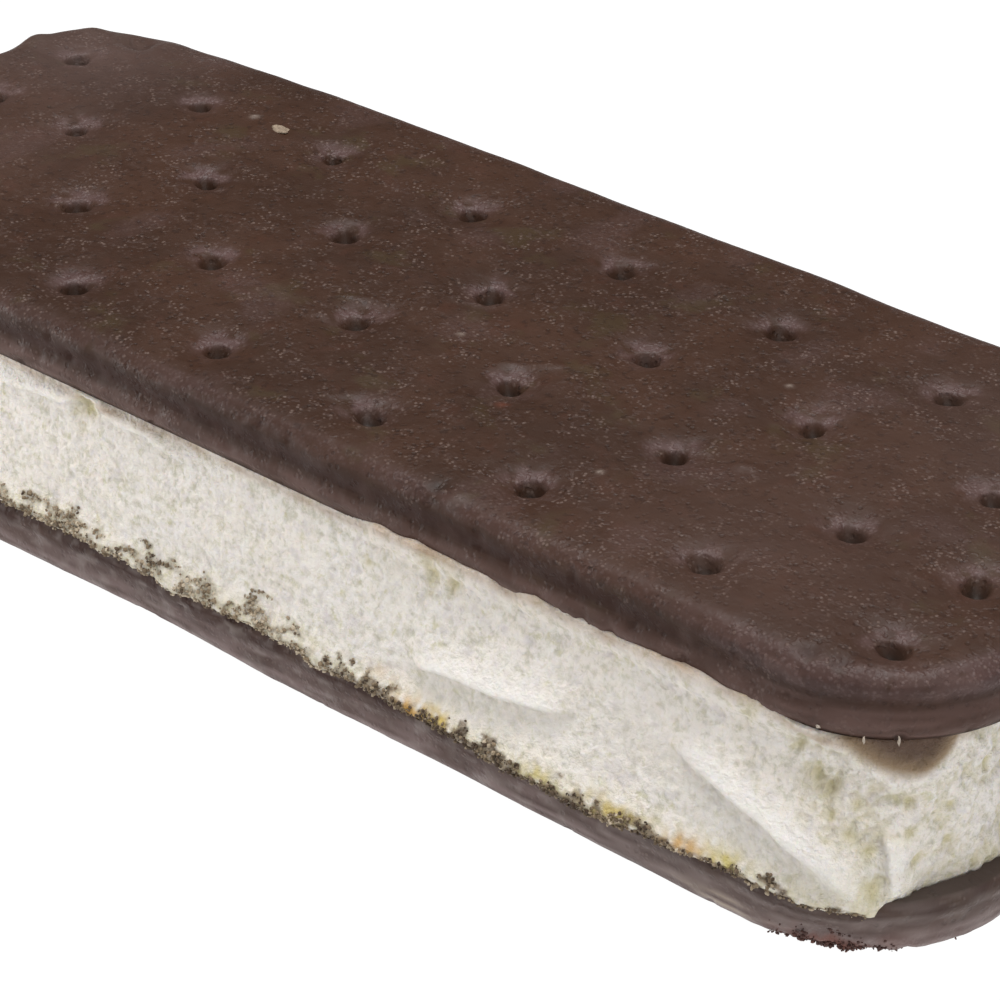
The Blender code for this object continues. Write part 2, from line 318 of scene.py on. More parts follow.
# Chips of biscuit: place in millimetres, how far each is drawn out, and its tone
CHIPS = (
    ((-30.3, 14.6, 22.6), (1.55, 0.95, 0.45), 0.35),
    ((54.8, -20.15, 17.75), (0.13, 0.13, 0.5), 0.9),
    ((56.6, -18.75, 17.75), (0.14, 0.14, 0.6), 0.9),
    ((51.8, -21.1, 17.95), (0.3, 0.13, 0.15), 0.9),
)
# Crumbs of one kind are dark, middling or pale
CRUMB_TONES = {
    "foot_crumb": ((0.07, 0.046, 0.03), (0.31, 0.235, 0.15), (0.72, 0.61, 0.46)),
    "rim_crumb": ((0.06, 0.036, 0.032), (0.13, 0.062, 0.05), (0.25, 0.1, 0.07)),
    "biscuit_chip": ((0.17, 0.125, 0.09), (0.38, 0.3, 0.22), (0.64, 0.56, 0.48)),
}

# Tones in the crust, then in the ice cream: its warm one as shares of its own colour
DARK_CRUST = 0.74  # share of the crust's own colour
REDDISH_CRUST = (0.08, 0.031, 0.02)
MUDDY_CRUST = (0.052, 0.036, 0.015)
SUNK_CRUST = (0.022, 0.011, 0.008)
# painted shade in the crust's pits
PAINTED_PIT_SHADE = (0.02, 0.011, 0.008)
# painted glints on the crust's pale specks
PAINTED_GLINT_SPECK = (0.2, 0.142, 0.12)
# painted mauve sheen where the crust has tears and on the crown
PAINTED_SHEEN_CRUST = (0.102, 0.059, 0.057)
# painted glints on the pale grains where the crust has tears
PAINTED_GLINT_GRAIN = (0.165, 0.115, 0.11)
# painted shade in the bores
PAINTED_BORE_SHADE = (0.016, 0.011, 0.008)
WARM_CREAM = (1, 0.985, 0.96)
GREENISH_CREAM = (0.64, 0.6, 0.4)
LILAC_CREAM = (0.7, 0.645, 0.645)

# Stage, in metres and watts
FLOOR_HALF = 3
SKY_LIGHT = 0.06
OVERHEAD_HEIGHT = 0.65
OVERHEAD_BACK = 0.08  # how far behind the sandwich it hangs
OVERHEAD_LIGHT = ((0.35, 0.35), 4.9)  # size and power
# Softboxes to the side: azimuth and elevation in degrees, distance, size and power
SIDE_LIGHTS = (
    ("right_fill", 60, 38, 0.9, (0.8, 0.5), 3.4),
    ("left_fill", -60, 8, 0.22, (0.08, 0.08), 0.19),
)
SENSOR_WIDTH = 36  # in millimetres
CLIP = (0.01, 20)
# The point of the upper face that the camera looks at, from the wafer's middle
LOOK_AT = Vector((22.75 * MM, -20.21 * MM, 0))


def ramp(low, high, value):
    """Rises smoothly from 0 at low to 1 at high."""
    share = min(max((value - low) / (high - low), 0), 1)
    return share * share * (3 - 2 * share)


def fade(distance, reach):
    """A smooth bell, 1 at no distance and nearly 0 at twice the reach."""
    return math.exp(-(distance / reach) ** 2)


def soft(x, y, z):
    """Soft noise about 0."""
    return noise.noise(Vector((x, y, z)))


def wander(place, wave, seed=0.0):
    """Soft noise about 0 that changes over the length of a wave."""
    return soft(place[0] / wave, place[1] / wave, place[2] / wave + seed)


def patchy(place, wave, seed, low, high):
    """Soft patches a wave across: 0 where the noise is below low, 1 where it is above high."""
    return ramp(low, high, wander(place, wave, seed))


def rough(place, waves, seed):
    """Noise about 0 made of several waves, each with its height and its length."""
    return sum(height * wander(place, wave, seed) for height, wave in waves)


def drawn_out(place, by):
    """A place for noise whose features lie drawn out along the ground."""
    return place.x / by, place.y / by, place.z


def from_line(place, points):
    """Distance of a place from a line through points, under 0 on its right, and its taper there:
    0 at the line's ends and 1 inside it."""
    best = None
    last = len(points) - 1
    for index, (start, end) in enumerate(zip(points, points[1:])):
        run = Vector(end) - Vector(start)
        off = place - Vector(start)
        share = min(max(off.dot(run) / run.length_squared, 0), 1)
        gap = (off - run * share).length
        if best is None or gap < abs(best):
            best = math.copysign(gap, run.cross(off))
            passed = (index + share) / last
    return best, ramp(0, 0.22, min(passed, 1 - passed))


def over(under, tone, share):
    """Lays a tone over a tint, which is a tone and how far it covers."""
    cover = share + under[3] * (1 - share)
    if cover == 0:
        return under
    laid = [
        (top * share + below * under[3] * (1 - share)) / cover
        for top, below in zip(tone, under)
    ]
    return (*laid, cover)


def layered(tint, *layers):
    """Lays several tones over a tint, each with how far it covers."""
    for tone, share in layers:
        tint = over(tint, tone, share)
    return tint


def mixed(first, second, share):
    """A colour between two others."""
    return [one + (other - one) * share for one, other in zip(first, second)]


def between_points(table, value):
    """Reads a table of pairs at a value, rounding softly from pair to pair."""
    for (low, first), (high, second) in zip(table, table[1:]):
        if value <= high:
            return first + (second - first) * ramp(low, high, value)
    return table[-1][1]


# Sizes and colours

def length(name, description, default):
    """A setting in metres."""
    return FloatProperty(
        name=name, description=description, default=default, min=0, precision=5, unit="LENGTH"
    )


def colour(name, description, default):
    """A setting for a colour."""
    return FloatVectorProperty(
        name=name, description=description, default=default, size=3, min=0, max=1,
        subtype="COLOR"
    )


class WaferSettings(bpy.types.PropertyGroup):
    """Both chocolate wafers"""
    length: length("Length", "Along the widest line of a wafer", 0.1227)
    width: length("Width", "Across the widest line of a wafer", 0.0458)
    thickness: length("Thickness", "Height of a wafer", 0.0053)
    corner_radius: length("Corner radius", "Of the widest line", 0.0101)
    near_radius: length("Near corner radius", "Of the near right corner, worn rounder", 0.0133)
    hole_radius: length("Hole radius", "Of a docker hole, halfway down", 0.00092)
    hole_depth: length("Hole depth", "From the dished face to the bottom of a hole", 0.00115)
    dish_depth: length("Dish depth", "How far the face sinks round a hole", 0.00062)
    grain: length("Grain", "Height of the crust's fine grain", 0.000009)
    crust: colour("Crust", "Baked chocolate crust", (0.050, 0.0225, 0.0130))
    # painted sheen: a paler, greyer colour on the crust's lumps
    lump_sheen: colour("Bloom", "Paler, greyer patches of crust", (0.062, 0.035, 0.028))


class CreamSettings(bpy.types.PropertyGroup):
    """Slab of ice cream"""
    length: length("Length", "Of the slab", 0.1186)
    width: length("Width", "Of the slab", 0.0446)
    thickness: length("Thickness", "Height of the slab", 0.0114)
    corner_radius: length("Corner radius", "Of the slab's outline", 0.0095)
    pit_depth: length("Pit depth", "Depth of the open pits", 0.00020)
    cream: colour("Cream", "Vanilla ice cream", (0.915, 0.862, 0.808))
    # painted shade in the pits, with the ice cream's greener tint there
    hollow: colour("Hollow", "Ice cream in the pits", (0.60, 0.565, 0.45))


class CrumbSettings(bpy.types.PropertyGroup):
    """Crumbs"""
    foot_count: IntProperty(name="At the foot", description="Crumbs along the foot", default=9800)
    rim_count: IntProperty(name="On the rim", description="Crumbs at the corner", default=3400)
    smallest: length("Smallest", "Radius of the smallest crumbs", 0.00004)
    largest: length("Largest", "Radius of the largest crumbs", 0.00018)
    chip: length("Chip", "Radius of the biscuit chips on the upper wafer", 0.0006)


class StageSettings(bpy.types.PropertyGroup):
    """Floor, lights and camera"""
    floor: colour("Floor", "Plain floor", (0.05, 0.05, 0.05))
    glow: FloatProperty(name="Glow", description="Light of the floor itself", default=1.0, min=0)
    azimuth: FloatProperty(
        name="Azimuth", description="Camera's turn about the sandwich",
        default=math.radians(40.281), subtype="ANGLE"
    )
    elevation: FloatProperty(
        name="Elevation", description="Camera's height above the horizon",
        default=math.radians(31.860), subtype="ANGLE"
    )
    distance: length("Distance", "From the camera to the upper face", 0.235166)
    lens: FloatProperty(name="Lens", description="In millimetres", default=120.72, min=1)


# Outlines shared by the wafers and the slab

class Outline(NamedTuple):
    """A plate's round-cornered outline, whose near right corner may be rounder than the rest."""
    half_length: float
    half_width: float
    radius: float
    near_radius: float
    near_side: int  # which way the near side lies along the plate's own Y

    def inset(self, by):
        """The outline drawn in on all sides."""
        return Outline(
            self.half_length - by, self.half_width - by, self.radius - by, self.near_radius - by,
            self.near_side
        )

    def past_corner(self, x, y):
        """The corner's radius and how far a place lies past its centre along and across."""
        radius = self.near_radius if x > 0 and y * self.near_side > 0 else self.radius
        return radius, abs(x) - self.half_length + radius, abs(y) - self.half_width + radius


def round_corner(x, y, outline):
    """Where a point of a square-cornered plate goes when its corners are drawn in to arcs."""
    radius, along, across = outline.past_corner(x, y)
    if along <= 0 or across <= 0:
        return x, y
    u = along / radius
    v = across / radius
    x_now = outline.half_length - radius + along * math.sqrt(1 - v * v / 2)
    y_now = outline.half_width - radius + across * math.sqrt(1 - u * u / 2)
    return math.copysign(x_now, x), math.copysign(y_now, y)


def outward(x, y, outline):
    """Direction straight out through the outline nearest to a point of the plate."""
    _, along, across = outline.past_corner(x, y)
    if along > 0 and across > 0:
        way = Vector((along, across)).normalized()
    elif along > across:
        way = Vector((1, 0))
    else:
        way = Vector((0, 1))
    return Vector((math.copysign(way.x, x), math.copysign(way.y, y), 0))


def next_ring(bm, edges):
    """Draws a new ring of faces out of an edge loop."""
    made = bmesh.ops.extrude_edge_only(bm, edges=edges)["geom"]
    verts = [item for item in made if isinstance(item, bmesh.types.BMVert)]
    rim = [item for item in made if isinstance(item, bmesh.types.BMEdge) and item.is_boundary]
    return verts, rim


def edge_sway(x, y, seed):
    """How far the baked edge stands out of its true line at a place."""
    return EDGE_SWAY * soft(x / EDGE_WAVE, y / EDGE_WAVE, seed)


def add_object(name, data):
    """Puts a mesh, a light or a camera into the scene."""
    made = bpy.data.objects.new(name, data)
    bpy.context.scene.collection.objects.link(made)
    return made


def make_piece(name, bm, surface, node=None):
    """Turns a mesh into a piece of the sandwich, with its place in its mesh."""
    mesh = bpy.data.meshes.new(name)
    bm.to_mesh(mesh)
    bm.free()
    made = add_object(name, mesh)
    mesh.materials.append(surface)
    mesh.shade_smooth()
    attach(made, BODY)
    if node:
        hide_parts(node)
    return made


# Wafers

class Hole(NamedTuple):
    """One docker hole: no two are quite alike."""
    x: float
    y: float
    turn: float
    squash: float
    radius: float
    depth: float
    dish: float
    lip: float
    seed: float


def hole_places():
    """Centres of the docker holes, seen from the wafer's outer face."""
    for row, stagger in enumerate(ROW_STAGGER):
        steps = [stagger + count for count in range(HOLES_PER_ROW)]
        last = HOLES_PER_ROW - 1
        steps = [step for step in steps if step <= last]
        if stagger:
            steps.append(0 if stagger > 0.5 else last)
        y = ((len(ROW_STAGGER) - 1) / 2 - row) * ROW_SPACING
        for step in steps:
            yield (step - last / 2) * HOLE_PITCH + PATTERN_SHIFT[0], y + PATTERN_SHIFT[1]


def docker_holes(wafer, seed):
    """All the holes of a wafer, each a little different."""
    draw = random.Random(HOLE_SEED + seed)
    return [
        Hole(
            x, y,
            turn=draw.uniform(0, math.pi),
            squash=draw.uniform(0.82, 1.0),
            radius=wafer.hole_radius * draw.uniform(0.86, 1.14),
            depth=wafer.hole_depth * draw.uniform(0.8, 1.15),
            dish=wafer.dish_depth * draw.uniform(0.75, 1.2),
            lip=draw.uniform(0, 0.00009),
            seed=draw.uniform(0, 100),
        )
        for x, y in hole_places()
    ]


def rim_curve(rim):
    """A rim's profile as a smooth run of (inset, level) pairs below the flat face."""
    points = [Vector(point) for point in rim]
    before = Vector((2 * points[0].x - points[1].x, points[1].y))
    after = 2 * points[-1] - points[-2]
    points = [before] + points + [after]
    for a, b, c, d in zip(points, points[1:], points[2:], points[3:]):
        for step in range(1, RIM_STEPS + 1):
            t = step / RIM_STEPS
            yield (
                2 * b + (c - a) * t + (2 * a - 5 * b + 4 * c - d) * t * t
                + (3 * b - a - 3 * c + d) * t ** 3
            ) / 2


def wafer_blank(wafer, profile, near_side, seed):
    """A smooth wafer without its holes, standing on its inner face."""
    inset = profile[0][0]
    widest = Outline(
        wafer.length / 2, wafer.width / 2, wafer.corner_radius, wafer.near_radius, near_side)
    flat = widest.inset(inset)
    bm = bmesh.new()
    bmesh.ops.create_grid(bm, x_segments=FACE_COLUMNS, y_segments=FACE_ROWS, size=1)
    for vert in bm.verts:
        x, y = round_corner(vert.co.x * flat.half_length, vert.co.y * flat.half_width, flat)
        vert.co = (x, y, wafer.thickness)
    rim = [edge for edge in bm.edges if edge.is_boundary]
    inset_before = inset
    for inset_now, level in rim_curve(profile):
        verts, rim = next_ring(bm, rim)
        for vert in verts:
            vert.co += outward(vert.co.x, vert.co.y, flat) * (inset_before - inset_now)
            vert.co.z = level * wafer.thickness
        inset_before = inset_now
    bmesh.ops.edgeloop_fill(bm, edges=rim)
    for vert in bm.verts:
        beyond = max(abs(vert.co.x) - flat.half_length, abs(vert.co.y) - flat.half_width)
        share = ramp(-inset, 0, beyond)
        if share:
            way = outward(vert.co.x, vert.co.y, flat)
            vert.co += way * edge_sway(vert.co.x, vert.co.y, seed) * share
    bmesh.ops.recalc_face_normals(bm, faces=bm.faces)
    return bm


def refine_round_holes(bm, holes, thickness):
    """Halves the faces of the flat face that lie close to a hole."""
    near = kdtree.KDTree(len(holes))
    for index, hole in enumerate(holes):
        near.insert((hole.x, hole.y, thickness), index)
    near.balance()
    edges = {}  # a table, because it keeps its order
    for face in bm.faces:
        if len(face.verts) == 4 and near.find(face.calc_center_median())[2] < HOLE_FINE_REACH:
            edges.update(dict.fromkeys(face.edges))
    bmesh.ops.subdivide_edges(bm, edges=list(edges), cuts=1, use_grid_fill=True)
    return near


def hole_relief(x, y, hole):
    """How a docker hole lowers the face at a place, how far its crust is rough with tears and
    carries the painted glint of the dish's far slope, and how far inside.
    """
    along = (x - hole.x) * math.cos(hole.turn) + (y - hole.y) * math.sin(hole.turn)
    across = (y - hole.y) * math.cos(hole.turn) - (x - hole.x) * math.sin(hole.turn)
    distance = math.hypot(along * hole.squash, across)
    distance *= 1 + 0.25 * wander((x, y, 0), 0.0013, hole.seed)
    dish = hole.dish * fade(distance, DISH_REACH)
    inside = 1 - ramp(hole.radius * 0.20, hole.radius * 1.35, distance)
    lip = hole.lip * fade(distance - LIP_RING[0], LIP_RING[1])
    lip *= 0.5 + wander((x, y, 1), 0.003, hole.seed)
    # Tears in the crust, which also carry the painted glint of the dish's far slope, facing the
    # camera
    torn_and_glint = ramp(hole.radius * 0.9, hole.radius * 1.3, distance)
    torn_and_glint *= fade(max(distance - TORN_GLINT_RING[0], 0), TORN_GLINT_RING[1])
    torn_and_glint *= patchy((x, y, 2), 0.0012, hole.seed, -0.45, 0.1)
    behind = Vector((x - hole.x, y - hole.y)).dot(GLINT_WAY)
    torn_and_glint *= 0.15 + 0.85 * ramp(-0.5 * MM, 1.2 * MM, behind)
    return lip - dish - hole.depth * inside, torn_and_glint, inside


def wrinkle_lines():
    """Short ridges side by side where the dough has crept."""
    start = Vector(WRINKLE_START)
    run = Vector(WRINKLE_END) - start
    half = Vector(WRINKLE_HALF)
    for step in range(WRINKLES):
        middle = start + run * (step / (WRINKLES - 1))
        yield ((middle - half)[:], (middle + half)[:]), WRINKLE_WIDTH, WRINKLE_RISE


def mark_relief(x, y, lines):
    """Height of the upper face's own marks at a place, and their tint, which lays painted sheen,
    glints and shade beside real marks.
    """
    place = Vector((x, y)) / MM
    height = 0
    for points, width, rise in lines:
        if abs(place.x - points[0][0]) < 9:
            off, taper = from_line(place, points)
            height += rise * fade(off, width) * taper
    tint = NO_TINT
    for centre, reach, rise, tone, cover in CRUST_SPOTS:
        share = fade((place - Vector(centre)).length, reach)
        if share > 0.01:
            height += rise * share
            tint = over(tint, tone, cover * share)
    return height * MM, tint


def rim_relief(place, seed):
    """Lumps, scratches and nicks of the rim."""
    nick = NICK_DEPTH * patchy(place, 0.0013, seed + 4, 0.36, 0.7)
    return rough(place, RIM_WAVES, seed) + rough(drawn_out(place, 9), SCRATCH, seed) - nick


def upper_rim_tint(place, level, streak):
    """The painted shade in the upper wafer's rim groove, and the paler skirt below it with
    painted bounce light, streaked with scuffs.
    """
    corner = ramp(*CORNER_RIM, place.x)
    mottle = patchy(place, 0.0016, 12.0, 0.0, 0.5)
    # painted shade in the groove
    groove_shade = ramp(0.36, 0.48, level) * (1 - ramp(0.60, 0.78, level))
    edge = 0.26 + 0.12 * corner
    # painted bounce light on the skirt, streaked with scuffs
    skirt = (0.5 + 0.5 * streak) * (1 - ramp(edge, edge + 0.16, level))
    skirt = max(skirt, (0.15 + 0.25 * corner) * mottle)
    return layered(NO_TINT, (PAINTED_RIM_SHADE, (0.80 - 0.60 * corner) * groove_shade), (SKIRT_BOUNCE_LIGHT, 0.75 * skirt))


def lower_rim_tint(place, level, streak):
    """Painted shade under the ice cream, dried ice cream with painted sheen, and wiped ice cream
    on the lower wafer's rim, and the run along it.
    """
    # dried ice cream, with painted sheen of the floor growing towards it
    film_and_sheen = 0.10 + 0.50 * ramp(0.2, 0.5, level) + 0.3 * ramp(0.5, 0.8, level)
    # painted shade on the rim just under the ice cream's foot
    shade_under_cream = patchy(drawn_out(place, 2.5), 0.0009, 13.0, -0.3, 0.2)
    smear = 0.7 * patchy(drawn_out(place, 1.6), 0.0008, 14.0, 0.10, 0.35)
    smear = max(smear, 0.45 * ramp(*SMEARED, place.x))
    tint = layered(
        NO_TINT,
        (PAINTED_RIM_SHADE, 0.85 * shade_under_cream * (1 - ramp(0.20, 0.50, level))),
        (FILM_AND_FLOOR_SHEEN, film_and_sheen * (0.4 + 0.6 * streak)),
        (SMEAR, 0.60 * smear * (0.3 + 0.7 * streak)),
    )
    if place.y > 0:
        off = [
            (at - middle) / reach
            for at, middle, reach in zip((place.x, place.z), RUN_PLACE, RUN_REACH)
        ]
        tint = over(tint, RUN_COLOUR, 0.85 * fade(Vector(off).length, 1) * streak)
    return tint


def face_relief(place, hole, seed):
    """How a wafer's face rises at a place, how far its crust is rough with tears and carries the
    painted glint, and how far inside a hole.
    """
    lift, torn_and_glint, inside = hole_relief(place.x, place.y, hole)
    lift += rough(place, FACE_WAVES, seed)
    torn_and_glint += 0.25 * patchy(place, 0.006, seed + 3, 0.2, 0.6) * (1 - torn_and_glint)
    shreds = wander(place, 0.00045, 1.0) + 0.6 * wander(place, 0.0009, 2.0)
    return lift + torn_and_glint * TORN_RISE * shreds, torn_and_glint, inside


def crown_sheen(place, level, seed):
    """How far the rim's crown carries painted sheen at a place: most at the near corner."""
    # Painted sheen on the crown
    corner = ramp(*CORNER_CROWN_SHEEN, place.x)
    below = 0.72 - 0.20 * corner
    crown = ramp(below, below + 0.12, level) * (1 - ramp(0.94, 0.99, level))
    crown *= 0.60 + 0.40 * patchy(place, 0.008, seed + 2, -0.2, 0.4)
    return crown * (0.40 + 0.60 * corner)


def sculpt_wafer(bm, wafer, holes, near, seed, lower):
    """Raises and sinks the blank's crust, and keeps in the mesh its tint, which lays painted
    sheen, glints and shade among its marks, its tears with their painted glint, and its bores,
    darkened with painted shade.
    """
    bm.normal_update()
    torn_and_glint_layer = bm.verts.layers.float.new("torn_and_glint")
    bore_layer = bm.verts.layers.float.new("bore")
    tint_layer = bm.verts.layers.float_color.new("tint")
    lines = CRUST_RIDGES + tuple(wrinkle_lines())
    rim_tint = lower_rim_tint if lower else upper_rim_tint
    for vert in bm.verts:
        place = vert.co.copy()
        level = place.z / wafer.thickness
        if level < INNER_LEVEL:
            vert[tint_layer] = (*INNER_FILM, 0.6) if lower else NO_TINT
            continue
        face = ramp(*FACE_BEGINS, level)
        lift = 0
        torn_and_glint = 0
        inside = 0
        tint = NO_TINT
        if face > 0:
            hole = holes[near.find((place.x, place.y, wafer.thickness))[1]]
            lift, torn_and_glint, inside = face_relief(place, hole, seed)
            if not lower:
                marks, tint = mark_relief(place.x, place.y, lines)
                lift += marks
            lift *= face
            torn_and_glint *= face
        if face < 1:
            lift += rim_relief(place, seed) * (1 - face)
            streak = patchy(drawn_out(place, 7), 0.00055, 11.0, -0.35, 0.45)
            rgb = rim_tint(place, level, streak)
            tint = over(tint, rgb[:3], rgb[3] * (1 - face))
        if lower and place.y > BROKEN_SIDE:
            broken = fade(place.x - BROKEN[0], BROKEN[1]) * ramp(0.35, 0.85, level)
            lift -= broken * (CRUMBLED[0] + CRUMBLED[1] * wander(place, 0.0009, 51.0))
            reddish = broken * patchy(place, 0.0012, 52.0, -0.3, 0.3)
            tint = over(tint, BROKEN_COLOUR, 0.85 * reddish)
        lift += wafer.grain * rough(place, GRAIN_WAVES, seed)
        vert.co = place + vert.normal * lift
        if lower:
            vert.co.z = min(vert.co.z, wafer.thickness)
        else:
            sag = between_points(BACK_SAG, place.x / MM) * MM
            vert.co.z -= sag * level * ramp(*BACK_EDGE, place.y)
        # The tears' painted glint, and the crown's painted sheen
        vert[torn_and_glint_layer] = max(torn_and_glint, crown_sheen(place, level, seed))
        # how deep in a bore, which sets its painted shade
        vert[bore_layer] = inside ** BORE_FADE
        vert[tint_layer] = tint


def wafer_mesh(wafer, lower):
    """A wafer in its place, the lower one turned over about the sandwich's length."""
    seed = LOWER_SEED if lower else UPPER_SEED
    bm = wafer_blank(wafer, LOWER_RIM if lower else UPPER_RIM, 1 if lower else -1, seed)
    holes = docker_holes(wafer, seed)
    near = refine_round_holes(bm, holes, wafer.thickness)
    sculpt_wafer(bm, wafer, holes, near, seed, lower)
    if lower:
        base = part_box("wafer_bottom")[1].z
        spin = Matrix.Rotation(math.pi, 4, "X")
        place = UPPER_PLACE + LOWER_WAFER_SHIFT + Vector((0, 0, base))
    else:
        spin = Matrix.Identity(4)
        place = UPPER_PLACE + Vector((0, 0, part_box("wafer_top")[0].z))
    bmesh.ops.transform(bm, matrix=Matrix.Translation(place) @ spin, verts=bm.verts)
    return bm


# Ice cream

def girth(x, y, outline):
    """Millimetres round the slab's side from the middle of its front, or of its back."""
    radius, u, v = outline.past_corner(x, y)
    if u <= 0:
        along = abs(x)
    elif v > 0:
        along = outline.half_length - radius + radius * math.atan2(u, v)
    else:
        along = outline.half_length - radius + radius * math.pi / 2 - v
    return math.copysign(along, x) / MM


def front_relief(place):
    """How far the folds, swells and hollows lift the front at a place in millimetres, how deep it
    lies in a hollow, which also sets the painted shade there, how smooth a fold has left it,
    which also sets the painted highlight on its lip, and how far it lies in a fold's shade."""
    height = 0
    smooth = 0
    shade = 0
    for points, rise, left, right in FOLDS:
        if points[0][0] - 4 < place.x < points[-1][0] + 4:
            off, taper = from_line(place, points)
            lip = fade(off, left if off > 0 else right) * taper
            height += rise * lip
            smooth = max(smooth, lip * min(rise, 1))
            if off < 0:
                shade = max(shade, fade(off, 1.5 * left) * taper * min(rise, 1))
    for centre, reach, rise in SWELLS:
        height += rise * fade(place.x - centre[0], reach[0]) * fade(place.y - centre[1], reach[1])
    hollow = 0
    for centre, reach, depth in HOLLOWS:
        gap = (place - Vector(centre)).length
        if gap < 3 * reach:
            gap *= 1 + 0.7 * soft(place.x, place.y, 7)
            gap *= 1 + 0.5 * soft(place.x * 2.6, place.y * 2.6, 17)
            share = fade(gap, reach)
            height -= depth * share
            hollow = max(hollow, share)
    cell = Vector((place.x, place.y, 5)) / POROUS_WAVE
    pores = 0.6 * noise.noise(cell) + 0.45 * noise.noise(cell * 2.7)
    porous = ramp(0.0, 0.38, pores) * (1 - smooth)
    porous *= ramp(*POROUS_BEGINS, place.x - 0.9 * (8 - place.y))
    height -= POROUS_DEPTH * porous
    return height * MM, max(hollow, 0.5 * porous), smooth, shade


def melt_share(place, top):
    """How far melted chocolate covers the front's corner at a place, and how dark it is there."""
    side = MELT_WIDTH[0] if place.x < MELT_LOW[0] else MELT_WIDTH[1]
    edge = MELT_LOW[1] + (top - MELT_LOW[1]) * (abs(place.x - MELT_LOW[0]) / side) ** 1.6
    return ramp(edge - 0.3, edge + 0.7, place.y), ramp(edge, edge + 1.9, place.y)


def lace_share(place, hang):
    """How far chocolate has soaked into the foot at a place, and how near one of its threads."""
    right = ramp(*LACE_REACHES_UP, place.x)
    reach = 0.62 + 0.26 * right - 0.42 * ramp(*LACE_SINKS, place.x)
    reach -= 0.22 * ramp(*LACE_SINKS_MORE, place.x)
    reach += 0.9 * soft(place.x / (2.1 - 0.9 * right), place.y / 0.55, 9)
    reach += 0.5 * soft(place.x / 3.5, 0, 19)
    soak = ramp(-0.04, 0.14, reach - (0.45 + 0.40 * right) * (place.y + 0.3 * hang))
    thread = abs(soft(place.x * 1.1, place.y * 2.3, 4))
    soak *= 1 - ramp(*LACE_ENDS, abs(place.x))
    return soak, 1 - ramp(0.04, 0.24, thread)


def tan_share(place, top, creep):
    """How far the ice cream turns tan at a place, in a band just under the upper wafer's edge,
    more where it has crept up.
    """
    under = place.y - top + 0.05 + 0.3 * (1 - min(creep, 1))
    wide = 0.40 - 0.22 * ramp(*TAN_NARROWS, place.x) + 0.3 * ramp(*TAN_WIDENS, place.x)
    crept = ramp(-wide, 0.16 - wide, place.y - top) * min(creep, 1)
    return max(0.8 * fade(under, 0.26), crept) * (0.70 + 0.5 * soft(place.x * 0.45, 0, 23))


def side_tint(place, hollow, soak, thread, tan):
    """Colour laid over the side at a place: painted shade in the hollows, olive towards the foot,
    chocolate, stains and tan edge.
    """
    right = ramp(*LACE_DARKENS, place.x)
    grain = 0.55 + 0.9 * soft(place.x * 1.7, place.y * 1.7, 3)
    foot = 0.45 * fade(place.y - 0.4, 1.2) * grain
    layers = [
        # painted shade in the hollows
        (OLIVE, 0.75 * hollow),
        (OLIVE, min(max(foot, 0), 1)),
        (mixed(LACE_PALE, LACE_DARK, right), soak * (0.50 + 0.32 * right)),
        (mixed(THREAD_PALE, THREAD_DARK, right), 0.8 * soak * thread),
    ]
    for centre, reach, stain, cover in STAINS:
        off = Vector(((place.x - centre[0]) / reach[0], (place.y - centre[1]) / reach[1]))
        if off.length < 3:
            layers.append((stain, min(cover * fade(off.length, 1) * grain * 1.6, 1)))
    return layered(NO_TINT, *layers, (TAN, tan))


def foot_drop(place, along, front):
    """How far the ice cream hangs below the slab's foot at a place."""
    ground = (place.x, place.y, 0)
    if front and FOOT_DROP[0][0] < along:
        drop = between_points(FOOT_DROP, along) * MM
    else:
        drop = BACK_DROP[0] + BACK_DROP[1] * wander(ground, BACK_DROP[2], 8.0)
    for sway, wave, seed in RAGGED:
        drop += sway * wander(ground, wave, seed)
    return drop


def foot_share(along, front):
    """How far the foot flares out at a place: it doesn't beside the crisp edge of the corner."""
    if not front or along < 0:
        return 1 - ramp(*FLARE_ENDS, abs(along))
    start, end = CREASE
    beside = ramp(*start, along) - ramp(*end, along)
    return (1 - beside) * (1 - ramp(*FLARE_ENDS_RIGHT, along))


def creep_share(place, along):
    """How far the ice cream has crept up the upper wafer's edge at a place."""
    share = ramp(*CREEP[:2], along) * (1 - ramp(*CREEP[2:], along))
    return share * (0.85 + 0.7 * wander((place.x, place.y, 0), 0.003, 31.0))


def slab_outline(cream):
    """The slab's outline, with four equal corners."""
    radius = cream.corner_radius
    return Outline(cream.length / 2, cream.width / 2, radius, radius, -1)


def slab_blank(cream):
    """The slab's top and its sides, still smooth and straight, and the edges of its foot."""
    outline = slab_outline(cream)
    top = outline.inset(TOP_INSET)
    bm = bmesh.new()
    bmesh.ops.create_grid(bm, x_segments=1, y_segments=1, size=1)
    along = [edge for edge in bm.edges if abs(edge.verts[0].co.y - edge.verts[1].co.y) < 0.5]
    across = [edge for edge in bm.edges if edge not in along]
    bmesh.ops.bisect_edges(bm, edges=along, cuts=SLAB_COLUMNS - 1)
    bmesh.ops.bisect_edges(bm, edges=across, cuts=SLAB_ROWS - 1)
    for vert in bm.verts:
        x, y = round_corner(vert.co.x * top.half_length, vert.co.y * top.half_width, top)
        vert.co = (x, y, cream.thickness)
    verts, rim = next_ring(bm, list(bm.edges))
    for vert in verts:
        vert.co += outward(vert.co.x, vert.co.y, outline) * TOP_INSET
    for layer in range(SLAB_LAYERS):
        verts, rim = next_ring(bm, rim)
        for vert in verts:
            vert.co.z = cream.thickness * (1 - (layer + 1) / SLAB_LAYERS)
    return bm, rim


